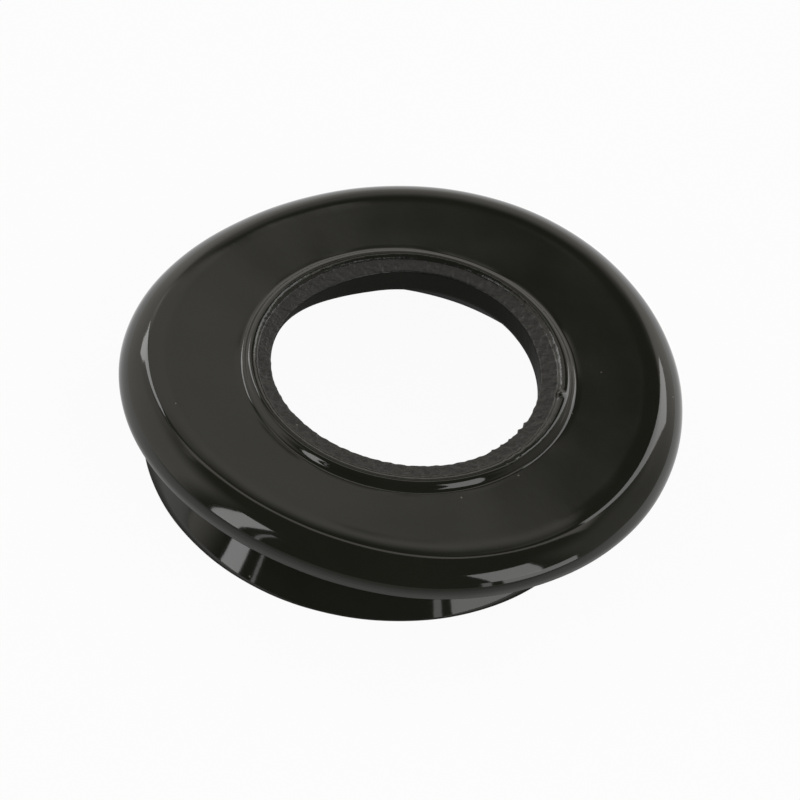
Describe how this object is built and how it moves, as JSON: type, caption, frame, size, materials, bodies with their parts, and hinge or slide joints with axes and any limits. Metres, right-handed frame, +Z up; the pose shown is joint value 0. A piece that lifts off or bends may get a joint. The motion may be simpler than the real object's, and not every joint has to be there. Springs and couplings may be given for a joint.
{
  "type": "dust cap",
  "caption": "Round rubber dust cap: a flat flange with a rolled outer rim, a beaded central bore and a flared skirt below that it stands on.",
  "frame": {"origin": "centre of the bore and of the rolled rim, on the surface that the cap stands on", "axes": "+Z up along the bore axis, from the foot towards the flange's flat face; -X towards the side that the skirt is set over to"},
  "size_m": [0.06, 0.06, 0.013],
  "materials": {
    "gloss_rubber": "glossy moulded black rubber"
  },
  "bodies": {
    "root": {"dust_cap": "gloss_rubber"}
  },
  "joints": []
}
